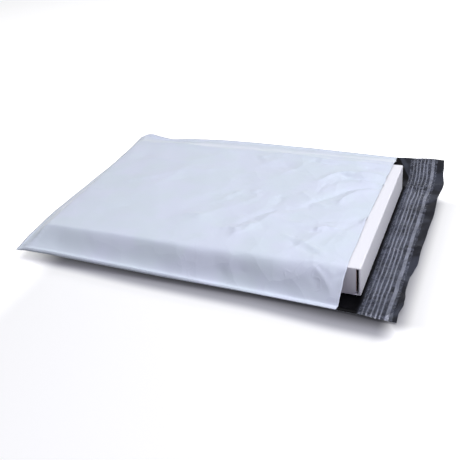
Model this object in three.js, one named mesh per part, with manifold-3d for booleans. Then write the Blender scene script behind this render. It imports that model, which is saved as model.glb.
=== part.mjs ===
// A courier bag of co-extruded polythene film, white outside and dark grey inside, with a flat white
// carton slid into it. The bag lies on its back panel: the carton holds the front panel up, the side
// welds and the closed fold stand clear of the table, and the dark lip with its glue lines lies open.
// Millimetres, +Z up. X runs from the closed fold to the lip, Y from the near weld to the far one.
// The origin is the middle of the footprint, on the table.
import * as THREE from "three";
import { mergeGeometries, mergeVertices } from "three/addons/utils/BufferGeometryUtils.js";
import { RoundedBoxGeometry } from "three/addons/geometries/RoundedBoxGeometry.js";
import Module from "manifold-3d";

const wasm = await Module();
wasm.setup();

// Driving dimensions of the bag as it lies. U is the distance from the closed fold.
const OVERALL_LENGTH = 447; // closed fold to the furthest point of the lip
const OVERALL_WIDTH = 323; // over the flat corners
const MOUTH_U = 384.5; // the front panel's cut edge
const WELD_PULL_IN = 4; // how far the carton's bulk draws each weld in
const WELD_WIDTH = 5; // the welded flange along each side
const FOLD_LIP = 2.5; // the flattened strip at the closed fold
const FILM = 0.6; // one layer of film

// The carton, closed, with its front wall standing out of the mouth.
const CARTON = { length: 370, width: 226, height: 34, board: 2, fold: 1.2 };
const CARTON_FRONT_U = 400;
const CARTON_NEAR_Y = -129;
const CORNER_SLOT = { width: 2.6, top: 1.6, bottom: 1.2, flare: 4 };
const CLEARANCE = 0.3; // between one piece and the next

// The hot-melt lines on the lip and the clear release strip over them.
const STRIP = { from: 403.5, to: 437, thickness: 0.3 };
const GLUE_THICKNESS = 0.4;
const GLUE_GAP = 0.2;
const THIN_LINE_WIDTH = 2;
const THIN_LINE_CENTRES = [407.8, 412.2, 416.6, 421, 425.3];
const WIDE_LINE = { centre: 431.8, width: 5 };

const COLOURS = { film: 0xd3dbe8, lining: 0x3b3c46, glue: 0x9a9fac, strip: 0x6f7482, board: 0xf2f2f5 };

const START_X = -OVERALL_LENGTH / 2;
const cartonBackU = CARTON_FRONT_U - CARTON.length;
const cartonFarY = CARTON_NEAR_Y + CARTON.width;
const cartonBase = FILM + CLEARANCE;
const topOfFilm = cartonBase + CARTON.height + CLEARANCE + FILM;

const clamp = THREE.MathUtils.clamp;
const ease = (v, from, to) => THREE.MathUtils.smoothstep(v, from, to);
const mix = THREE.MathUtils.lerp;

// A smooth function through a few [position, value] points, level at each of them.
function through(points) {
  return (at) => {
    const next = points.findIndex(([position]) => position >= at);
    if (next === 0) return points[0][1];
    if (next < 0) return points[points.length - 1][1];
    const [[a, low], [b, high]] = [points[next - 1], points[next]];
    return mix(low, high, ease(at, a, b));
  };
}

// Straight lines through a few [position, value] points.
function between(points) {
  return (at) => {
    const next = clamp(points.findIndex(([position]) => position >= at), 1, points.length - 1);
    const [[a, low], [b, high]] = [points[next - 1], points[next]];
    return mix(low, high, clamp((at - a) / (b - a), 0, 1));
  };
}

// Heights of the two welds along the bag, at the inner edge of each flange.
const nearWeldHeight = between([[0, 17], [36, 18.5], [150, 12.5], [280, 7.5], [MOUTH_U, 4]]);
const farWeldHeight = through([[0, 11.5], [48, 9.5], [140, 14.5], [230, 15], [MOUTH_U, 12.5]]);
// How far the free edge of each flange hangs below that, or curls above it.
const nearFlangeDrop = between([[0, 3], [45, 4.5], [200, 3.2], [MOUTH_U, 1]]);
const farFlangeRise = through([[0, 5.5], [55, 1], [MOUTH_U, 0.6]]);

const halfWidth = (u) =>
  OVERALL_WIDTH / 2 - WELD_PULL_IN * (ease(u, 0, 60) - ease(u, MOUTH_U, OVERALL_LENGTH - 12));

// Weld height under any point of the bag: one weld's height changes into the other's across it.
function weldHeight(u, y) {
  return mix(nearWeldHeight(u), farWeldHeight(u), ease(y, -150, 150));
}

// 0 on the flanges and the closed fold, 1 over the carton, and a straight slope between.
function overCarton(u, y) {
  const weld = halfWidth(u) - WELD_WIDTH;
  const fromNear = (y + weld) / (CARTON_NEAR_Y - CLEARANCE + weld);
  const fromFar = (weld - y) / (weld - cartonFarY - CLEARANCE);
  const fromFold = (u - FOLD_LIP) / (cartonBackU - CLEARANCE - FOLD_LIP);
  return clamp(Math.min(fromNear, fromFar, fromFold), 0, 1);
}

// A long soft ridge in the film from a to b, in [u, y], highest at a and gone at b.
function ridge(u, y, [au, ay], [bu, by], height, width) {
  const length2 = (bu - au) ** 2 + (by - ay) ** 2;
  const along = clamp(((u - au) * (bu - au) + (y - ay) * (by - ay)) / length2, 0, 1);
  const away = Math.hypot(u - au - along * (bu - au), y - ay - along * (by - ay));
  return height * (1 - along) * Math.exp(-((away / width) ** 2));
}

// The front panel's wrinkles over the carton, above the height at which it would lie tight.
function frontSlack(u, y) {
  return (
    0.5 + 0.5 * Math.sin(u / 41) * Math.cos(y / 37) +
    ridge(u, y, [MOUTH_U, 62], [322, 56], 3.2, 9) +
    ridge(u, y, [MOUTH_U, 34], [325, -15], 2.4, 12) +
    ridge(u, y, [MOUTH_U, -70], [330, -88], 2.2, 14) +
    ridge(u, y, [330, -122], [MOUTH_U, -96], 2.2, 9) +
    ridge(u, y, [240, -120], [225, -80], 1.4, 12)
  );
}

function frontHeight(u, y) {
  const over = overCarton(u, y);
  const flange = clamp((Math.abs(y) - halfWidth(u) + WELD_WIDTH) / WELD_WIDTH, 0, 1);
  const hang = y < 0 ? -nearFlangeDrop(u) * flange : farFlangeRise(u) * flange;
  const settled = mix(weldHeight(u, y), topOfFilm, over) + hang;
  return settled + over * frontSlack(u, y);
}

// The back panel lies on the table under the carton and comes up to the welds around it.
function backHeight(u, y) {
  const over = overCarton(u, y);
  if (over === 0) return frontHeight(u, y) - 2 * FILM;
  return (weldHeight(u, y) - 2 * FILM) * (1 - over) ** 1.6;
}

// The lip's free edge, as cut and curled: its distance from the closed fold, and its height.
const lipEdgeU = through([
  [-161, 441.5], [-143, 440.2], [-128, 443.8], [-88, 441.4], [-64, 444.8], [20, 446],
  [86, 444], [110, OVERALL_LENGTH], [162, 441],
]);
const lipEdgeHeight = through([
  [-161, 0.5], [-133, 5.5], [-112, 1], [-80, 0.5], [-46, 5], [-12, 2.5], [28, 4], [66, 7], [90, 1.5],
  [110, 2.5], [162, 12.5],
]);
// The lip beyond the mouth: it leaves the back panel's height and takes up the free edge's.
function lipHeight(u, y) {
  const spread = y * (halfWidth(MOUTH_U) / halfWidth(u));
  const out = clamp((u - CARTON_FRONT_U) / (lipEdgeU(y) - CARTON_FRONT_U), 0, 1);
  return mix(backHeight(MOUTH_U, spread), lipEdgeHeight(y), out ** 1.3);
}

const underside = (u, y) => (u <= MOUTH_U ? backHeight(u, y) : lipHeight(u, y));

// Where the film's grid lines run. Rows are places across the bag, from the near edge to the far one.
const evenly = (from, to, steps) =>
  Array.from({ length: steps + 1 }, (_, i) => mix(from, to, i / steps));
const innerRows = [
  -146, -139, CARTON_NEAR_Y - CLEARANCE, ...evenly(-120, 90, 20), cartonFarY + CLEARANCE,
  107, 118, 130, 142,
];
const rows = (u) => {
  const edge = halfWidth(u);
  const weld = edge - WELD_WIDTH;
  return [-edge, -weld, ...innerRows, weld, edge];
};
const bodyColumns = [
  0, FOLD_LIP, 11, 20, cartonBackU - CLEARANCE, 38, ...evenly(56, 272, 8), 296, 314, 330, 343, 354,
  364, 374, MOUTH_U,
];
const lineEdges = THIN_LINE_CENTRES.flatMap((c) => [c - THIN_LINE_WIDTH / 2, c + THIN_LINE_WIDTH / 2]);
const wideEdges = [WIDE_LINE.centre - WIDE_LINE.width / 2, WIDE_LINE.centre + WIDE_LINE.width / 2];
const lipColumns = [MOUTH_U, 392, CARTON_FRONT_U, STRIP.from, ...lineEdges, ...wideEdges, STRIP.to];
const lastBody = bodyColumns.length - 1;
const mouthWave = through([[-152, 1.5], [-129, -0.5], [-40, -2.2], [20, -0.8], [97, 0.8], [152, 0.5]]);
const allColumns = [...bodyColumns, ...lipColumns.slice(1), OVERALL_LENGTH];
const rowCount = rows(0).length;

// The plan position of grid point (column, row). The last column is the lip's free edge, and the
// mouth's cut edge waves a little, taking its neighbours with it.
function gridPoint(column, row) {
  const u = allColumns[column];
  const y = rows(u)[row];
  if (column === allColumns.length - 1) return [lipEdgeU(y), y];
  const nearMouth = column > lastBody ? 0 : ease(u, 364, MOUTH_U);
  return [u + nearMouth * mouthWave(y), y];
}

// One skin of the film: a grid of triangles over columns and rows, at the height that level gives.
function skin(columns, rowSpan, level, facesUp, colour) {
  const [c0, c1] = columns;
  const [r0, r1] = rowSpan;
  const positions = [];
  for (let c = c0; c <= c1; c++) {
    for (let r = r0; r <= r1; r++) {
      const [u, y] = gridPoint(c, r);
      positions.push(START_X + u, y, level(allColumns[c], rows(allColumns[c])[r], c));
    }
  }
  const across = r1 - r0 + 1;
  const index = [];
  for (let c = 0; c < c1 - c0; c++) {
    for (let r = 0; r < r1 - r0; r++) {
      const a = c * across + r;
      const [b, d, e] = [a + across, a + across + 1, a + 1];
      if (facesUp) index.push(a, b, e, b, d, e);
      else index.push(a, e, b, b, e, d);
    }
  }
  return finished(positions, index, colour);
}

// A wall along a run of grid points, between a lower and an upper level.
function wall(run, lower, upper, colour) {
  const positions = run.flatMap(([c, r]) => {
    const [u, y] = gridPoint(c, r);
    const at = [allColumns[c], rows(allColumns[c])[r], c];
    return [START_X + u, y, lower(...at), START_X + u, y, upper(...at)];
  });
  const index = [];
  for (let i = 0; i < run.length - 1; i++) {
    const a = 2 * i;
    index.push(a, a + 2, a + 1, a + 2, a + 3, a + 1);
  }
  return finished(positions, index, colour);
}

function finished(positions, index, colour) {
  const geometry = new THREE.BufferGeometry();
  geometry.setAttribute("position", new THREE.Float32BufferAttribute(positions, 3));
  geometry.setIndex(index);
  geometry.computeVertexNormals();
  const tint = new THREE.Color(colour);
  const tints = new Float32Array(positions.length).map((_, i) => tint.toArray()[i % 3]);
  geometry.setAttribute("color", new THREE.BufferAttribute(tints, 3));
  return geometry;
}

const range = (from, to) => {
  const step = from < to ? 1 : -1;
  return Array.from({ length: Math.abs(to - from) + 1 }, (_, i) => from + i * step);
};
const underLevel = (u, y) => underside(u, y);
const lifted = (rise) => (u, y) => underside(u, y) + rise;

// The whole bag is one film: folded at the closed end, welded to itself along both sides, open at
// the mouth, where the back panel runs on as the lip. White skin outside, dark skin inside.
function mailerFilm() {
  const lastColumn = allColumns.length - 1;
  const lastRow = rowCount - 1;
  const body = [0, lastBody];
  const everyRow = [0, lastRow];
  const pocket = [1, lastRow - 1];
  const frontTop = (u, y) => frontHeight(u, y);
  const frontInner = (u, y) => frontHeight(u, y) - FILM;
  const side = (row, columns) => columns.map((c) => [c, row]);
  const end = (column, span) => span.map((r) => [column, r]);
  const nearSide = side(0, range(0, lastBody));
  const farSide = side(lastRow, range(lastBody, 0));
  const foldEnd = end(0, range(lastRow, 0));
  return mergeGeometries([
    skin(body, everyRow, frontTop, true, COLOURS.film),
    skin([0, lastColumn], everyRow, underLevel, false, COLOURS.film),
    skin([1, lastBody], pocket, frontInner, false, COLOURS.lining),
    skin([1, lastBody], pocket, lifted(FILM), true, COLOURS.lining),
    skin([lastBody, lastColumn], everyRow, lifted(FILM), true, COLOURS.lining),
    ...[nearSide, foldEnd, farSide].flatMap((run) => [
      wall(run, underLevel, lifted(FILM), COLOURS.film),
      wall(run, lifted(FILM), frontTop, COLOURS.film),
    ]),
    wall(end(lastBody, range(0, 1)), lifted(FILM), frontTop, COLOURS.film),
    wall(end(lastBody, range(1, lastRow - 1)), frontInner, frontTop, COLOURS.film),
    wall(end(lastBody, range(lastRow - 1, lastRow)), lifted(FILM), frontTop, COLOURS.film),
    wall(side(0, range(lastBody, lastColumn)), underLevel, lifted(FILM), COLOURS.film),
    wall(end(lastColumn, range(0, lastRow)), underLevel, lifted(FILM), COLOURS.film),
    wall(side(lastRow, range(lastColumn, lastBody)), underLevel, lifted(FILM), COLOURS.film),
  ]);
}

// A flat ribbon that follows the lip's dark face from weld to weld, between two places along U.
function lipRibbon(fromU, toU, rise, thickness, colour) {
  const c0 = allColumns.indexOf(fromU);
  const c1 = allColumns.indexOf(toU);
  const lastRow = rowCount - 1;
  const lower = lifted(rise);
  const upper = lifted(rise + thickness);
  const around = [
    ...range(c0, c1).map((c) => [c, 0]),
    ...range(1, lastRow).map((r) => [c1, r]),
    ...range(c1 - 1, c0).map((c) => [c, lastRow]),
    ...range(lastRow - 1, 0).map((r) => [c0, r]),
  ];
  return mergeGeometries([
    skin([c0, c1], [0, lastRow], upper, true, colour),
    skin([c0, c1], [0, lastRow], lower, false, colour),
    wall(around, lower, upper, colour),
  ]);
}

function toSolid(geometry) {
  const bare = geometry.clone();
  bare.deleteAttribute("normal");
  bare.deleteAttribute("uv");
  const merged = mergeVertices(bare, 1e-4);
  return new wasm.Manifold(
    new wasm.Mesh({
      numProp: 3,
      vertProperties: merged.attributes.position.array,
      triVerts: new Uint32Array(merged.index.array),
    }),
  );
}

function toGeometry(solid) {
  const mesh = solid.getMesh();
  const geometry = new THREE.BufferGeometry();
  geometry.setAttribute("position", new THREE.BufferAttribute(mesh.vertProperties, 3));
  geometry.setIndex(new THREE.BufferAttribute(mesh.triVerts, 1));
  const flat = geometry.toNonIndexed();
  flat.computeVertexNormals();
  return flat;
}

// The open corner between a side wall and the front or back wall: a slot in the side wall beside the
// end wall, flared at its foot where the side panel's corner is clipped. Drawn in X and Z about the
// carton's middle, and cut through the side wall along Y.
function cornerSlot(towardsFront, towardsFar) {
  const face = towardsFront * (CARTON.length / 2 - CARTON.board);
  const inner = face - towardsFront * CORNER_SLOT.width;
  const high = CARTON.height / 2 - CORNER_SLOT.top;
  const low = -CARTON.height / 2 + CORNER_SLOT.bottom;
  const outline = new THREE.Shape([
    new THREE.Vector2(face, high),
    new THREE.Vector2(inner, high),
    new THREE.Vector2(inner, low + CORNER_SLOT.flare),
    new THREE.Vector2(inner - towardsFront * CORNER_SLOT.flare, low),
    new THREE.Vector2(face, low),
  ]);
  const depth = 3 * CARTON.board;
  const cut = new THREE.ExtrudeGeometry(outline, { depth, bevelEnabled: false });
  cut.rotateX(Math.PI / 2);
  cut.translate(0, towardsFar * (CARTON.width / 2 - CARTON.board / 2) + depth / 2, 0);
  return toSolid(cut);
}

// The carton is one folded sheet of white board, closed: hollow, with the four corners open.
function carton() {
  const { length, width, height, board, fold } = CARTON;
  const inside = new THREE.BoxGeometry(length - 2 * board, width - 2 * board, height - 2 * board);
  let solid = toSolid(new RoundedBoxGeometry(length, width, height, 2, fold)).subtract(toSolid(inside));
  for (const front of [1, -1]) {
    for (const far of [1, -1]) solid = solid.subtract(cornerSlot(front, far));
  }
  return toGeometry(solid);
}

const bag = new THREE.Group();

function add(name, geometry, material) {
  const mesh = new THREE.Mesh(geometry, new THREE.MeshStandardMaterial(material));
  mesh.name = name;
  bag.add(mesh);
  return mesh;
}

add("mailer_film", mailerFilm(), { vertexColors: true, roughness: 0.42, metalness: 0 });

const glueRise = FILM + GLUE_GAP;
THIN_LINE_CENTRES.forEach((centre, i) => {
  const half = THIN_LINE_WIDTH / 2;
  const line = lipRibbon(centre - half, centre + half, glueRise, GLUE_THICKNESS, COLOURS.glue);
  add(`glue_line_${i + 1}`, line, { color: COLOURS.glue, roughness: 0.5, metalness: 0 });
});
add(
  "glue_line_wide",
  lipRibbon(...wideEdges, glueRise, GLUE_THICKNESS, COLOURS.glue),
  { color: COLOURS.glue, roughness: 0.5, metalness: 0 },
);

const stripRise = glueRise + GLUE_THICKNESS + GLUE_GAP;
add(
  "release_strip",
  lipRibbon(STRIP.from, STRIP.to, stripRise, STRIP.thickness, COLOURS.strip),
  { color: COLOURS.strip, roughness: 0.25, metalness: 0, transparent: true, opacity: 0.45 },
);

add("carton", carton(), { color: COLOURS.board, roughness: 0.7, metalness: 0 }).position.set(
  START_X + CARTON_FRONT_U - CARTON.length / 2,
  CARTON_NEAR_Y + CARTON.width / 2,
  cartonBase + CARTON.height / 2,
);

export default bag;
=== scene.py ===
# A courier bag of co-extruded film lying on its back, with a flat white carton slid into it.
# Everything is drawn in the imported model's frame: X from the closed fold to the lip, Y from the
# near weld to the far one, Z up, the origin in the middle of the footprint.
import math

import bpy
import numpy as np
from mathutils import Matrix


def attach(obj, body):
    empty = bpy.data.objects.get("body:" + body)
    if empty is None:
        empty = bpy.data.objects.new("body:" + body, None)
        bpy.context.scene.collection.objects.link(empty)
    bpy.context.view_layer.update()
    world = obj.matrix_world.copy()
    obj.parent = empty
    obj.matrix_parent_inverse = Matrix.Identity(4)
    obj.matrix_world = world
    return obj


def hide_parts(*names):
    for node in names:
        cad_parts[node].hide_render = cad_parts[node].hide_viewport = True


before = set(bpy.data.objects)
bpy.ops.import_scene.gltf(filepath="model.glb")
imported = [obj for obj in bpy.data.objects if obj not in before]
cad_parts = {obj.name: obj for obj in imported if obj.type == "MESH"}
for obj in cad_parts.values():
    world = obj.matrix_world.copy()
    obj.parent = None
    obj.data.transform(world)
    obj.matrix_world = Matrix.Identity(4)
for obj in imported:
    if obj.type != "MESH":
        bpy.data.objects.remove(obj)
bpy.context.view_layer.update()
bpy.ops.object.select_all(action="DESELECT")

# The camera stands a little to the right of the bag's near side and looks down on it at about 32
# degrees, slightly rolled, as the photograph was taken.
bpy.ops.object.camera_add(location=(0.30101, -0.66936, 0.43118))
camera = bpy.context.object
camera.rotation_mode = "QUATERNION"
camera.rotation_quaternion = (0.861435, 0.467459, 0.135834, 0.144779)
camera.data.lens = 53.556
camera.data.sensor_width = 36.0
camera.data.clip_start = 0.02
camera.data.clip_end = 20.0
bpy.context.scene.camera = camera
bpy.context.scene.view_settings.view_transform = "Standard"


# A white studio. What looks straight at the surround sees white, and four large soft boxes light the
# bag: one overhead, a weak one behind it on the closed side, and two on the mouth's side.


def add_seen_rays(nodes, links):
    # 1 where the camera, a mirror or a clear sheet looks straight at the backdrop, 0 for its light.
    rays = nodes.new("ShaderNodeLightPath")
    direct = nodes.new("ShaderNodeMath")
    direct.operation = "MAXIMUM"
    links.new(rays.outputs["Is Camera Ray"], direct.inputs[0])
    links.new(rays.outputs["Is Glossy Ray"], direct.inputs[1])
    seen = nodes.new("ShaderNodeMath")
    seen.operation = "MAXIMUM"
    links.new(direct.outputs[0], seen.inputs[0])
    links.new(rays.outputs["Is Transmission Ray"], seen.inputs[1])
    return seen


world = bpy.data.worlds.new("studio_surround")
bpy.context.scene.world = world
world.use_nodes = True
nodes = world.node_tree.nodes
links = world.node_tree.links
nodes.clear()
seen = add_seen_rays(nodes, links)
white = nodes.new("ShaderNodeBackground")
white.inputs["Color"].default_value = (1.0, 1.0, 1.0, 1.0)
white.inputs["Strength"].default_value = 1.0
fill = nodes.new("ShaderNodeBackground")
fill.inputs["Color"].default_value = (0.93, 0.96, 1.0, 1.0)
fill.inputs["Strength"].default_value = 0.02
pick = nodes.new("ShaderNodeMixShader")
out = nodes.new("ShaderNodeOutputWorld")
links.new(seen.outputs[0], pick.inputs[0])
links.new(fill.outputs[0], pick.inputs[1])
links.new(white.outputs[0], pick.inputs[2])
links.new(pick.outputs[0], out.inputs["Surface"])

SOFT_BOXES = [
    ("overhead_box", (0.14, 0.06, 1.59), 1.2, 12.0, (0.93, 0.92, 1.0)),
    ("back_left_box", (-0.79, 0.79, 1.15), 1.0, 1.2, (1.0, 0.99, 0.98)),
    ("right_box", (0.8, 0.0, 1.386), 1.0, 11.4, (0.945, 1.0, 0.89)),
    ("front_right_box", (0.9, -0.62, 1.15), 1.0, 9.9, (0.83, 0.775, 1.0)),
]
for name, place, size, watts, tint in SOFT_BOXES:
    bpy.ops.object.light_add(type="AREA", location=place)
    soft_box = bpy.context.object
    soft_box.name = name
    soft_box.rotation_mode = "QUATERNION"
    soft_box.rotation_quaternion = soft_box.location.to_track_quat("Z", "Y")
    soft_box.data.size = size
    soft_box.data.energy = watts
    soft_box.data.color = tint

# The table is a white sweep, lifted to white only for the rays that look straight at it. It takes
# the lamps' own shadow of the bag. A deeper soft shade is drawn on it along the near side and the
# lip, because the lamps alone leave that too pale.
bpy.ops.mesh.primitive_plane_add(size=14.0, location=(0.0, 0.0, -0.0004))
table = bpy.context.object
table.name = "table_top"
white_sweep = bpy.data.materials.new("white_sweep")
white_sweep.use_nodes = True
nodes = white_sweep.node_tree.nodes
links = white_sweep.node_tree.links
nodes.clear()


def sums(operation, a, b=0.0, c=0.0):
    # One Math node. Each of a, b and c is a number or another node's output.
    node = nodes.new("ShaderNodeMath")
    node.operation = operation
    for socket, value in zip(node.inputs, (a, b, c)):
        if isinstance(value, (int, float)):
            socket.default_value = value
        else:
            links.new(value, socket)
    return node.outputs[0]


def soft_step(value, start, stop):
    node = nodes.new("ShaderNodeMapRange")
    node.interpolation_type = "SMOOTHSTEP"
    node.inputs["From Min"].default_value = start
    node.inputs["From Max"].default_value = stop
    links.new(value, node.inputs["Value"])
    return node.outputs["Result"]


def soft_shade(reach, dark, rises, blue, weight):
    # A grey that climbs from dark along reach in soft steps of (start, stop, height), a little blue
    # until its own soft step ends, and white where weight is 0.
    grey = dark
    for start, stop, height in rises:
        grey = sums("MULTIPLY_ADD", soft_step(reach, start, stop), height, grey)
    amount, start, stop = blue
    bluer = sums("MULTIPLY_ADD", soft_step(reach, start, stop), -amount, 1.0 + amount)
    colour = nodes.new("ShaderNodeCombineColor")
    links.new(grey, colour.inputs["Red"])
    links.new(grey, colour.inputs["Green"])
    links.new(sums("MULTIPLY", grey, bluer), colour.inputs["Blue"])
    mix = nodes.new("ShaderNodeMix")
    mix.data_type = "RGBA"
    mix.inputs["A"].default_value = (1.0, 1.0, 1.0, 1.0)
    links.new(weight, mix.inputs["Factor"])
    links.new(colour.outputs["Color"], mix.inputs["B"])
    return mix.outputs["Result"]


place = nodes.new("ShaderNodeTexCoord")
apart = nodes.new("ShaderNodeSeparateXYZ")
links.new(place.outputs["Object"], apart.inputs[0])
across = apart.outputs["X"]
depth = apart.outputs["Y"]
# Both run 0 to 1, over 50 and 40 mm, outward from under the near edge and from the lip's edge. The
# near one is shifted a little toward the mouth and toward the closed end.
near_reach = sums("MULTIPLY_ADD", sums("ADD", sums("MULTIPLY", across, 0.0405), depth), -20.0, -2.9)
near_reach = sums("MULTIPLY_ADD", soft_step(across, 0.06, 0.17), -0.1, near_reach)
near_reach = sums("MULTIPLY_ADD", soft_step(across, -0.04, -0.17), 0.06, near_reach)
lip_reach = sums("MULTIPLY_ADD", across, 25.0, -5.475)
near_part = sums("MULTIPLY", soft_step(across, -0.232, -0.165), soft_step(across, 0.238, 0.2))
near_part = sums("MULTIPLY", near_part, soft_step(depth, -0.11, -0.145))
lip_part = sums("MULTIPLY", soft_step(depth, 0.1, 0.072), soft_step(depth, -0.19, -0.155))
lip_part = sums("MULTIPLY", lip_part, soft_step(across, 0.16, 0.2))
near_rises = [(0.0, 0.5, 0.2), (0.4, 0.7, 0.33), (0.6, 1.0, 0.05)]
near_shade = soft_shade(near_reach, 0.05, near_rises, (0.1, 0.35, 0.7), near_part)
lip_rises = [(-0.1, 0.4, 0.31), (0.1, 1.0, 0.12)]
lip_shade = soft_shade(lip_reach, 0.2, lip_rises, (0.05, 0.0, 0.25), lip_part)
shade = nodes.new("ShaderNodeMix")
shade.data_type = "RGBA"
shade.blend_type = "DARKEN"
shade.inputs["Factor"].default_value = 1.0
links.new(near_shade, shade.inputs["A"])
links.new(lip_shade, shade.inputs["B"])
seen = add_seen_rays(nodes, links)
bounced = nodes.new("ShaderNodeBsdfDiffuse")
bounced.inputs["Color"].default_value = (0.5, 0.5, 0.5, 1.0)
shown = nodes.new("ShaderNodeBsdfDiffuse")
glow = nodes.new("ShaderNodeEmission")
glow.inputs["Strength"].default_value = 0.62
both = nodes.new("ShaderNodeAddShader")
links.new(shade.outputs["Result"], shown.inputs["Color"])
links.new(shade.outputs["Result"], glow.inputs["Color"])
links.new(shown.outputs[0], both.inputs[0])
links.new(glow.outputs[0], both.inputs[1])
pick = nodes.new("ShaderNodeMixShader")
out = nodes.new("ShaderNodeOutputMaterial")
links.new(seen.outputs[0], pick.inputs[0])
links.new(bounced.outputs[0], pick.inputs[1])
links.new(both.outputs[0], pick.inputs[2])
links.new(pick.outputs[0], out.inputs["Surface"])
table.data.materials.append(white_sweep)

# The bag is one web of co-extruded polythene film, pale outside and dark inside: folded once at the
# closed end, trimmed and welded to itself down both sides, and left open at the mouth, where the
# back panel runs on as the closing lip. It is thin, so it lies over the carton in flat facets.
# Lengths here are in millimetres, u from the closed fold and y across the bag.
FOLD_X = -223.5
LIP_U = 447.0
MOUTH_U = 384.5
HALF_WIDTH = 161.5
WELD_PULL = 4.0
WELD = 5.0
FILM = 0.12
HALF_GAP = 0.16  # each panel's distance from the sheet midway between the two
FLANGE_GAP = 0.3
BOARD_TOP = 34.9
CARTON_BACK = 30.0
CARTON_FRONT = 400.0
CARTON_NEAR = -129.0
CARTON_FAR = 97.0


def ease(v, a, b):
    t = np.clip((v - a) / (b - a), 0.0, 1.0)
    return t * t * (3.0 - 2.0 * t)


def through(points):
    at = np.array([p[0] for p in points], float)
    value = np.array([p[1] for p in points], float)

    def curve(v):
        v = np.clip(v, at[0], at[-1])
        i = np.clip(np.searchsorted(at, v, side="right") - 1, 0, len(at) - 2)
        t = ease(v, at[i], at[i + 1])
        return value[i] + (value[i + 1] - value[i]) * t

    return curve


def between(points):
    at = [p[0] for p in points]
    value = [p[1] for p in points]
    return lambda v: np.interp(v, at, value)


def soft_min(a, b, k):
    h = np.clip(0.5 + 0.5 * (b - a) / k, 0.0, 1.0)
    return b + (a - b) * h - k * h * (1.0 - h)


closed_fold = through(
    [(-161, 15.2), (-128, 18.4), (-84, 20), (-48, 18.9), (0, 17.1), (68, 14.9), (112, 15.2),
     (150, 17.2), (161, 15.6)]
)
near_weld = between(
    [(0, 15.4), (9, 17.6), (15, 18.2), (34, 16.8), (60, 14.6), (150, 11.2), (280, 6.6), (384.5, 2.8)]
)
far_weld = between(
    [(0, 12), (16, 13.2), (48, 12.4), (80, 15.6), (128, 17.9), (176, 18.2), (272, 16.7),
     (340, 14.6), (384.5, 13.3)]
)
near_drop = between(
    [(0, 0.2), (9, 2.4), (15, 3.8), (34, 4), (60, 3.8), (190, 3.5), (240, 2.2), (290, 1.3), (384.5, 1)]
)
far_curl = between([(0, 0), (15, 4), (46, 1.3), (384.5, 0.7)])
lip_edge = through(
    [(-160, 441.4), (-150, 441.2), (-139, 444), (-130, 443.6), (-108, 440.9), (-90, 440.9),
     (-60, 445.3), (-38, 445), (0, 445.7), (38, 447.3), (85, 445.8), (111, 448.2), (140, 444.1),
     (160, 442.2)]
)
lip_lift = through(
    [(-161, 0.5), (-133, 5.5), (-112, 1), (-80, 0.5), (-46, 5), (-12, 2.5), (28, 4), (66, 7),
     (90, 1.5), (110, 2.5), (162, 12.5)]
)
mouth_wave = through(
    [(-159, -3.0), (-150, -1.2), (-141, 0.6), (-131, 2.3), (-107, 1.8), (-88, 2.2), (-40, 1.4),
     (25, 2.7), (46, 3.4), (97, 4.5), (125, 1.5), (154, -2.6)]
)


def half_width(u):
    return HALF_WIDTH - WELD_PULL * (ease(u, 0, 60) - ease(u, MOUTH_U, LIP_U - 12))


def ear(u, y):
    # How far the far closed corner is rolled in, which rounds its tip.
    return 2.2 * np.clip(1 - u / 7, 0, 1) ** 2 * ease(y, 148, 161)


def weld_height(u, y):
    # The height of the welds, carried across the bag. At the closed end it is the fold's own.
    across = near_weld(u) + (far_weld(u) - near_weld(u)) * ease(y, -150, 150)
    blend = 24 - 12 * (1 - ease(y, -148, -112))
    return across + (closed_fold(y) - across) * (1 - ease(u, 0.08 * blend, blend))


def over_carton(u, y, loose):
    # 0 at the welds and the fold, 1 over the carton. Between them the free film leaves the board
    # in a round shoulder and comes flat into the weld, more so the looser it is.
    weld = half_width(u) - WELD
    near = np.clip((y + weld) / (CARTON_NEAR - 0.8 + weld), 0, 2)
    far = np.clip((weld - y) / (weld - CARTON_FAR - 0.8), 0, 2)
    foot = 2.0 + 3.0 * (1 - ease(y, -136, -98))
    end = np.clip((u - foot) / (CARTON_BACK - 0.8 - foot), 0, 2)
    corner = soft_min(soft_min(near, end, 0.05), far, 0.04)
    round_off = 0.05 + 0.42 * ease(u, 120, 320) * ease(-y, -60, 100)
    lift = np.clip(soft_min(corner * (1 + 0.5 * round_off), 1.0, round_off), 0, 1)
    slack = loose * (0.35 + 0.65 * ease(u, 20, 90)) * (1 - 0.95 * ease(u, 310, 380))
    return lift + slack * (ease(lift, 0, 1) ** 1.12 - lift)


def fold(u, y, line, tall, wide, fade=0.0):
    # A sharp ridge, or a valley where tall is below 0, along the points of line.
    best = np.full(np.shape(u), 1e9)
    along = np.zeros(np.shape(u))
    for n, (a, b) in enumerate(zip(line, line[1:])):
        run = np.subtract(b, a)
        t = np.clip(((u - a[0]) * run[0] + (y - a[1]) * run[1]) / (run @ run), 0, 1)
        away = np.hypot(u - a[0] - t * run[0], y - a[1] - t * run[1])
        along = np.where(away < best, (n + t) / (len(line) - 1), along)
        best = np.minimum(best, away)
    ends = np.clip(np.minimum(along, 1 - along) * 6 + 0.35, 0, 1)
    return tall * (1 - fade * along) * ends * np.exp(-best / wide)


def crinkles(u, y, count, seed, low, high, reach, tall, wide):
    # Many small random folds over the field from low to high.
    dice = np.random.default_rng(seed)
    total = np.zeros(np.shape(u))
    for _ in range(count):
        middle = dice.uniform(low, high)
        turn = dice.uniform(0, math.pi)
        half = dice.uniform(*reach) / 2 * np.array([math.cos(turn), math.sin(turn)])
        side = dice.normal(0, 0.25) * np.array([-half[1], half[0]])
        line = [middle - half, middle + side, middle + half]
        total += fold(u, y, line, dice.normal(0, tall), dice.uniform(*wide))
    return total


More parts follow.
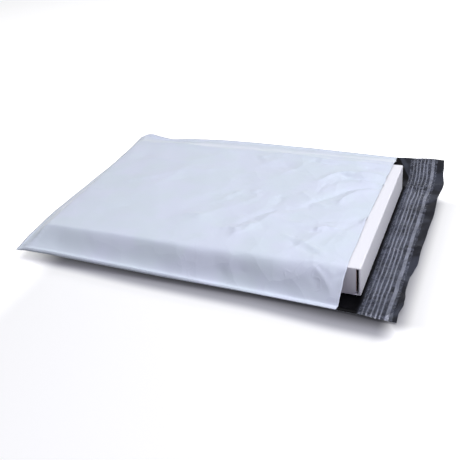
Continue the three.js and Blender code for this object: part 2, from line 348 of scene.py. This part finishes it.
TOP_FOLDS = [
    # Lines of (u, y), then the height and the width of each fold. Below 0 it is a valley.
    ([(314, 34), (331, 53), (345, 57), (361, 59), (388, 57)], 2.6, 5),
    ([(333, 50), (349, 47.5), (367, 46), (388, 43.5)], -2.2, 4),
    ([(358, 42), (375, 39), (388, 36)], 1.8, 3),
    ([(383, 33), (366, 27), (351, 18), (338, 2), (327, -10), (314, -25)], -2.0, 5),
    ([(380, 22), (364, 14), (353, -4), (349, -18)], 2.4, 7),
    ([(386, -20), (377, -42), (371, -54), (364, -66)], -1.9, 5),
    ([(387, -36), (381, -48)], 1.8, 6),
    ([(338, -74), (349, -68), (362, -68)], 1.5, 3),
    ([(334, -79), (346, -78)], -1.0, 3),
    ([(305, -91), (324, -99), (338, -104), (352, -112), (361, -118)], 1.1, 2.5),
    ([(318, -104), (339, -113), (351, -118)], -0.9, 2.5),
    ([(249, 57), (261, 65)], -1.6, 4),
    ([(286, 81), (309, 80), (328, 78)], -1.4, 4),
    ([(228, 98), (251, 94), (283, 90), (310, 87), (338, 88), (388, 86)], 1.7, 4),
    ([(358, 76), (371, 77)], -1.2, 3),
    ([(221, 20), (230, 0), (236, -25)], -1.4, 9),
    ([(295, -40), (320, -27)], -1.4, 8),
    ([(50, 94), (102, 96), (144, 92), (181, 91)], 1.6, 5),
    ([(237, -93), (246, -90), (255, -95)], 0.9, 2),
    ([(177, -63), (196, -32), (220, -11)], -1.2, 6),
    ([(227, 56), (253, 58), (264, 67)], -1.2, 5),
    ([(28, 112), (54, 108), (86, 104)], 1.8, 5),
    ([(60, -20), (110, 10), (150, 50)], 1.0, 12),
]
SLOPE_FOLDS = [
    ([(340, -132.5), (349, -129.5), (357, -130)], 1.4, 1.6),
    ([(344, -134), (354, -132), (362, -135), (371, -137)], -1.4, 1.6),
    ([(354, -133), (360, -138), (367, -142), (375, -145)], 1.6, 1.8),
    ([(353, -140), (361, -143)], -1.2, 1.6),
    ([(362, -134), (377, -138)], 1.2, 1.6),
    ([(375, -139), (386, -135)], -1.5, 1.6),
    ([(262, -131), (270, -134)], -1.8, 2.5),
    ([(268, -132), (262, -146)], 1.2, 5),
    ([(12, 124), (30, 134), (50, 138)], -3.2, 2.5),
    ([(52, -130), (46, -150)], -1.2, 7),
    ([(30, -131), (23, -143), (15, -156)], 2.6, 1.8),
    ([(22, -124), (15, -138), (7, -151)], -5.0, 5),
]


def front_slack(u, y):
    wrinkles = 0.9 + 1.6 * ease(u, 210, 310) * (1 - 0.75 * ease(u, 364, MOUTH_U))
    wrinkles += crinkles(u, y, 36, 11, (15, -120), (230, 95), (40, 120), 0.85, (6, 14))
    wrinkles += crinkles(u, y, 90, 12, (190, -120), (380, 100), (16, 60), 0.95, (2.2, 6))
    for line, tall, wide in TOP_FOLDS:
        wrinkles += 1.7 * fold(u, y, line, tall, 0.85 * wide)
    return np.maximum(wrinkles, 0.3 + 0.2 * ease(wrinkles, -3, 0.3))


def side_slack(u, y):
    # The wrinkles of the free slopes, where no board holds the film up.
    wrinkles = crinkles(u, y, 44, 5, (10, -158), (380, -120), (18, 70), 0.35, (3, 9))
    wrinkles += crinkles(u, y, 34, 6, (10, 100), (380, 152), (18, 80), 0.4, (4, 10))
    for line, tall, wide in SLOPE_FOLDS:
        wrinkles += fold(u, y, line, tall, wide)
    return wrinkles


def flange(u, y):
    # 0 at the weld's inner side and 1 at the trimmed edge.
    return (np.abs(y) - half_width(u) + WELD) / WELD


def flange_hang(u, y):
    # The near flange hangs from the weld almost upright, and the far one curls up.
    down = -near_drop(u) * ease(flange(u, y), 0.5, 1.0)
    return np.where(y < 0, down, far_curl(u) * ease(flange(u, y), 0.0, 1.0))


def front_height(u, y):
    over = over_carton(u, y, 0.62)
    base = weld_height(u, y)
    slack = over**3 * front_slack(u, y) + np.clip(4 * over * (1.02 - over), 0, 1) * side_slack(u, y)
    return base + (BOARD_TOP + FILM - base) * over + flange_hang(u, y) + slack


def back_height(u, y):
    over = over_carton(u, y, 0.0)
    return weld_height(u, y) * np.clip(1.0 - over, 0, 1) ** 1.6 + flange_hang(u, y)


def lip_folds(u, y):
    return 1.1 + np.maximum(
        crinkles(u, y, 70, 21, (400, -160), (446, 160), (14, 50), 0.75, (2.5, 8))
        + fold(u, y, [(386, 156), (396, 140), (407, 118)], -3.0, 3)
        + fold(u, y, [(405, 100), (432, 106), (448, 109.5)], 2.8, 2.5)
        + fold(u, y, [(406, -42), (428, -39), (446, -33)], 2.6, 2.5)
        + fold(u, y, [(405, -127), (420, -124.6), (434, -120)], 1.6, 2)
        + fold(u, y, [(446, -58), (441, -75), (444, -84)], -2.6, 5)
        + fold(u, y, [(446, 66), (436, 58), (424, 60)], -2.2, 5)
        + fold(u, y, [(446, -138), (437, -149), (429, -160)], 3.0, 2.5),
        -1.0,
    )


def lip_height(u, y):
    spread = y * (half_width(np.full_like(u, MOUTH_U)) / half_width(u))
    out = np.clip((u - CARTON_FRONT) / (lip_edge(y) - CARTON_FRONT), 0, 1) ** 1.3
    root = back_height(np.full_like(u, MOUTH_U), spread)
    lip = root + (lip_lift(y) - root) * out
    return lip + np.clip((u - np.where(y > 100, 385, CARTON_FRONT)) / 9, 0, 1) * lip_folds(u, y)


def spaced(*runs):
    stops = [np.linspace(a, b, n, endpoint=False) for a, b, n in runs]
    return np.concatenate(stops + [[runs[-1][1]]])


rows = spaced((-1, -0.965, 5), (-0.965, -0.78, 22), (-0.78, 0.58, 98), (0.58, 0.97, 26), (0.97, 1, 3))
body = spaced((0, 2.5, 2), (2.5, 40, 15), (40, 220, 42), (220, 300, 32), (300, MOUTH_U, 48))
lip = spaced((MOUTH_U, CARTON_FRONT, 7), (CARTON_FRONT, 437, 17), (437, LIP_U, 7))


def plan(columns):
    u, v = np.meshgrid(columns, rows, indexing="ij")
    y = v * half_width(u)
    near_mouth = ease(u, 364, MOUTH_U) * (1 - ease(u, MOUTH_U, 396))
    reach = ease(u, 434, LIP_U)
    x = u + near_mouth * mouth_wave(y) + reach * (lip_edge(y) - LIP_U)
    tuck = np.where(y < 0, 0.25 * near_drop(u) * ease(flange(u, y), 0.45, 1.0), 0.0)
    return u, y, FOLD_X + x, y - ear(u, y) + tuck


u, y, x, across = plan(body)
parted = np.where(y < 0, FLANGE_GAP * ease(flange(u, y), 0.1, 0.5), 0.0)
front = np.stack([x, across - parted, front_height(u, y) + HALF_GAP], -1)
u, y, x, across = plan(np.concatenate([body, lip[1:]]))
parted = np.where((y < 0) & (u < MOUTH_U), FLANGE_GAP * ease(flange(u, y), 0.1, 0.5), 0.0)
back = np.stack([x, across + parted, back_height(u, y) - HALF_GAP], -1)
lip_from = len(body)
back[lip_from:, :, 2] = lip_height(u[lip_from:], y[lip_from:])
back[..., 2] = np.maximum(back[..., 2], 0.0)
wide, last = len(rows), len(rows) - 1
front_index = np.arange(front.shape[0] * wide).reshape(-1, wide)
back_index = np.arange(back.shape[0] * wide).reshape(-1, wide) + front_index.size
for edge in ((slice(0, len(body)), 0), (slice(0, len(body)), last), (0, slice(None))):
    middle = (front[edge] + back[: len(body)][edge]) / 2
    front[edge] = middle
    back[: len(body)][edge] = middle
    back_index[: len(body)][edge] = front_index[edge]


def quads(index, up):
    a, b = index[:-1, :-1].ravel(), index[1:, :-1].ravel()
    c, d = index[1:, 1:].ravel(), index[:-1, 1:].ravel()
    return np.stack([a, b, c, d] if up else [a, d, c, b], 1)


def mesh_piece(name, points, faces):
    used = np.unique(faces)
    place = np.full(len(points), -1)
    place[used] = np.arange(len(used))
    mesh = bpy.data.meshes.new(name)
    mesh.from_pydata((points[used] / 1000).tolist(), [], place[faces].tolist())
    mesh.update()
    piece = bpy.data.objects.new(name, mesh)
    bpy.context.collection.objects.link(piece)
    bpy.ops.object.select_all(action="DESELECT")
    bpy.context.view_layer.objects.active = piece
    piece.select_set(True)
    return piece


points = np.concatenate([front.reshape(-1, 3), back.reshape(-1, 3)])
faces = np.concatenate([quads(front_index, True), quads(back_index, False)])
film = mesh_piece("film_web", points, faces)


def material(name):
    made = bpy.data.materials.new(name)
    made.use_nodes = True
    tree = made.node_tree
    return made, tree.nodes, tree.links, tree.nodes["Principled BSDF"]


def split(vector):
    node = nodes.new("ShaderNodeSeparateXYZ")
    links.new(vector, node.inputs[0])
    return node.outputs


def noise(scale, detail, vector):
    node = nodes.new("ShaderNodeTexNoise")
    node.inputs["Scale"].default_value = scale
    node.inputs["Detail"].default_value = detail
    links.new(vector, node.inputs["Vector"])
    return node


def graded(value, start, stop, low=0.0, high=1.0):
    # low up to start, high from stop on, and a straight run between them.
    node = nodes.new("ShaderNodeMapRange")
    for name, number in (("From Min", start), ("From Max", stop), ("To Min", low), ("To Max", high)):
        node.inputs[name].default_value = number
    links.new(value, node.inputs["Value"])
    return node.outputs["Result"]


def two_tone(value, low, low_colour, high, high_colour):
    node = nodes.new("ShaderNodeValToRGB")
    first, second = node.color_ramp.elements
    first.position = low
    first.color = (*low_colour, 1)
    second.position = high
    second.color = (*high_colour, 1)
    links.new(value, node.inputs["Fac"])
    return node


def relief(strength, distance, height, under=None):
    # A Bump node on top of another's normal. The strength is a number or a node's output.
    node = nodes.new("ShaderNodeBump")
    node.inputs["Distance"].default_value = distance
    if isinstance(strength, float):
        node.inputs["Strength"].default_value = strength
    else:
        links.new(strength, node.inputs["Strength"])
    links.new(height, node.inputs["Height"])
    if under is not None:
        links.new(under, node.inputs["Normal"])
    return node.outputs["Normal"]


pale_skin, nodes, links, skin = material("pale_film_outside")
skin.inputs["Roughness"].default_value = 0.36
skin.inputs["Specular IOR Level"].default_value = 0.22
where = nodes.new("ShaderNodeTexCoord").outputs["Object"]
tone = noise(24.0, 2.0, where)
ramp = two_tone(tone.outputs["Fac"], 0.4, (0.643, 0.71, 0.784), 0.62, (0.659, 0.706, 0.812))
links.new(ramp.outputs["Color"], skin.inputs["Base Color"])
grain = relief(0.12, 0.0006, noise(130.0, 4.0, where).outputs["Fac"])
# Fine sharp creases, and flat facets between them, fainter over the closed half than at the mouth.
wander = noise(15.0, 3.0, where)
crest = sums("ABSOLUTE", sums("SUBTRACT", wander.outputs["Fac"], 0.5))
crest = sums("MAXIMUM", sums("MULTIPLY_ADD", crest, -70.0, 1.0), 0.0)
crest = sums("MULTIPLY", crest, soft_step(tone.outputs["Fac"], 0.48, 0.6))
bent = nodes.new("ShaderNodeVectorMath")
bent.operation = "MULTIPLY_ADD"
bent.inputs[1].default_value = (0.03, 0.03, 0.03)
links.new(wander.outputs["Color"], bent.inputs[0])
links.new(where, bent.inputs[2])
facets = nodes.new("ShaderNodeTexVoronoi")
facets.inputs["Scale"].default_value = 28.0
links.new(bent.outputs["Vector"], facets.inputs["Vector"])
crumple = sums("MULTIPLY_ADD", crest, 0.06, facets.outputs["Distance"])
toward_mouth = graded(split(where)["X"], -0.1, 0.15, 0.25, 1.0)
links.new(relief(toward_mouth, 0.0028, crumple, grain), skin.inputs["Normal"])
film.data.materials.append(pale_skin)

dark_skin, nodes, links, skin = material("dark_film_inside")
skin.inputs["Roughness"].default_value = 0.36
skin.inputs["Specular IOR Level"].default_value = 0.05
where = nodes.new("ShaderNodeTexCoord").outputs["Object"]
apart = split(where)
# Painted shade: the colour is drawn black in the pocket round the carton's foot, and in the tuck
# that runs out of the far mouth corner, where shade falls.
painted_pocket_shade = sums("MULTIPLY", soft_step(apart["X"], 0.182, 0.177), soft_step(apart["Y"], 0.11, 0.098))
tuck = sums("MULTIPLY_ADD", apart["Y"], 0.552, sums("SUBTRACT", apart["X"], 0.2487))
painted_tuck_shade = sums("MULTIPLY", soft_step(tuck, 0.0005, -0.001), soft_step(tuck, -0.013, -0.009))
painted_tuck_shade = sums("MULTIPLY", painted_tuck_shade, soft_step(apart["Y"], 0.112, 0.122))
# Lighter and darker patches stand for the light that its small folds catch.
patches = noise(34.0, 2.5, where)
patches.inputs["Distortion"].default_value = 0.6
ramp = two_tone(patches.outputs["Fac"], 0.42, (0.015, 0.016, 0.021), 0.6, (0.042, 0.046, 0.061))
mix = nodes.new("ShaderNodeMix")
mix.data_type = "RGBA"
# The near-black colour of the painted shade in the pocket and the tuck.
mix.inputs["B"].default_value = (0.0015, 0.0015, 0.002, 1)
links.new(ramp.outputs["Color"], mix.inputs["A"])
links.new(sums("MAXIMUM", painted_pocket_shade, painted_tuck_shade), mix.inputs["Factor"])
links.new(mix.outputs["Result"], skin.inputs["Base Color"])
links.new(relief(0.25, 0.001, noise(90.0, 4.0, where).outputs["Fac"]), skin.inputs["Normal"])
film.data.materials.append(dark_skin)

wall = film.modifiers.new("film_thickness", "SOLIDIFY")
wall.thickness = FILM / 1000
wall.offset = -1.0
wall.material_offset = 1
wall.material_offset_rim = 0
bpy.ops.object.modifier_apply(modifier=wall.name)
bpy.ops.object.shade_smooth()
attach(film, "root")
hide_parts("mailer_film")

# Five thin lines of hot-melt adhesive and one wide one are laid across the dark face of the lip in
# the machine. They are slightly raised, grey and a little ragged at their edges.
GLUE_RISE = 0.25
GLUE_DEPTH = 0.15
THIN_HALF = 0.75
THIN_LINES = [407.8, 412.2, 416.6, 421.0, 425.3]
WIDE_LINE = (429.9, 433.7)
glue_grey, nodes, links, skin = material("hot_melt_grey")
skin.inputs["Roughness"].default_value = 0.45
where = nodes.new("ShaderNodeTexCoord").outputs["Object"]
stretch = nodes.new("ShaderNodeMapping")
stretch.inputs["Scale"].default_value = (160.0, 330.0, 100.0)
links.new(where, stretch.inputs["Vector"])
rungs = noise(1.0, 3.0, stretch.outputs["Vector"])
apart = split(where)
glue_tone_and_highlight = sums("MULTIPLY_ADD", rungs.outputs["Fac"], 0.5, noise(34.0, 2.0, where).outputs["Fac"])
# Toward the carton the lines are drawn darker; at the near end each gets a painted white highlight.
glue_tone_and_highlight = sums("ADD", glue_tone_and_highlight, graded(apart["X"], 0.1805, 0.1885, -0.35, 0.0))
glue_tone_and_highlight = sums("ADD", glue_tone_and_highlight, graded(apart["Y"], -0.1552, -0.1566, 0.0, 0.2))
ramp = two_tone(graded(glue_tone_and_highlight, 0.4, 1.35), 0.1, (0.05, 0.055, 0.075), 0.6, (0.23, 0.243, 0.3))
# The white of the painted highlight at each line's near end.
ramp.color_ramp.elements.new(0.95).color = (0.8, 0.82, 0.86, 1)
links.new(ramp.outputs["Color"], skin.inputs["Base Color"])


def lip_ribbon(name, from_u, to_u, across, rise, thickness):
    columns = np.linspace(from_u, to_u, across + 1)
    u, v = np.meshgrid(columns, rows, indexing="ij")
    y = v * half_width(u)
    waver = 0.0 if across > 9 else 0.45 * np.sin(y / 9 + from_u) * np.sin(y / 31 + 2 * from_u)
    waver = waver - 2.5 * ease(y, 118, 158)
    sheet = np.stack([FOLD_X + u + waver, y, lip_height(u + waver, y) + rise], -1)
    index = np.arange(u.size).reshape(u.shape)
    ribbon = mesh_piece(name, sheet.reshape(-1, 3), quads(index, True))
    depth = ribbon.modifiers.new("depth", "SOLIDIFY")
    depth.thickness = thickness / 1000
    depth.offset = -1.0
    bpy.ops.object.modifier_apply(modifier=depth.name)
    bpy.ops.object.shade_smooth_by_angle(angle=math.radians(40))
    return ribbon


for number, centre in enumerate(THIN_LINES, 1):
    from_u, to_u = centre - THIN_HALF, centre + THIN_HALF
    line = lip_ribbon(f"glue_bead_{number}", from_u, to_u, 3, GLUE_RISE, GLUE_DEPTH)
    line.data.materials.append(glue_grey)
    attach(line, "root")
    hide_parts(f"glue_line_{number}")
line = lip_ribbon("glue_bead_wide", *WIDE_LINE, 5, GLUE_RISE, GLUE_DEPTH)
line.data.materials.append(glue_grey)
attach(line, "root")
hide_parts("glue_line_wide")

# A clear silicone-coated liner lies over the adhesive until the bag is closed. It is glossy, and
# lifts and crinkles a little between the lines.
LINER = (403.5, 437.0)
LINER_RISE = 0.5
LINER_DEPTH = 0.08
clear_liner, nodes, links, skin = material("clear_release_liner")
skin.inputs["Base Color"].default_value = (0.36, 0.39, 0.5, 1)
skin.inputs["Roughness"].default_value = 0.2
where = nodes.new("ShaderNodeTexCoord").outputs["Object"]
stretch = nodes.new("ShaderNodeMapping")
stretch.inputs["Scale"].default_value = (150.0, 280.0, 60.0)
links.new(where, stretch.inputs["Vector"])
haze = noise(1.0, 5.0, stretch.outputs["Vector"])
ramp = two_tone(haze.outputs["Fac"], 0.42, (0.015, 0.015, 0.015), 0.72, (0.16, 0.16, 0.16))
links.new(ramp.outputs["Color"], skin.inputs["Alpha"])
liner = lip_ribbon("release_liner", *LINER, 24, LINER_RISE, LINER_DEPTH)
liner.data.materials.append(clear_liner)
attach(liner, "root")
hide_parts("release_strip")

# The carton is one folded sheet of white-lined fluted board, closed, with its end wall standing out
# of the mouth. Its folds are slightly rounded, and each corner is open, where the side panel stops
# short of the end wall and shows its brown cut edge.
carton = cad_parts["carton"]
board, nodes, links, skin = material("white_lined_board")
skin.inputs["Roughness"].default_value = 0.6
where = nodes.new("ShaderNodeTexCoord").outputs["Object"]
apart = split(where)
facing = split(nodes.new("ShaderNodeNewGeometry").outputs["Normal"])
cut_edge = sums("MULTIPLY", soft_step(facing["X"], 0.6, 0.9), soft_step(apart["X"], 0.1758, 0.1752))
mix = nodes.new("ShaderNodeMix")
mix.data_type = "RGBA"
mix.inputs["A"].default_value = (0.82, 0.82, 0.86, 1)
mix.inputs["B"].default_value = (0.3, 0.15, 0.07, 1)
links.new(cut_edge, mix.inputs["Factor"])
links.new(mix.outputs["Result"], skin.inputs["Base Color"])
grain = relief(0.1, 0.0002, noise(400.0, 2.0, where).outputs["Fac"])
flutes = sums("SINE", sums("MULTIPLY", apart["X"], 2600.0))
links.new(relief(0.12, 0.0001, flutes, grain), skin.inputs["Normal"])
carton.data.materials.clear()
carton.data.materials.append(board)

bpy.context.view_layer.update()
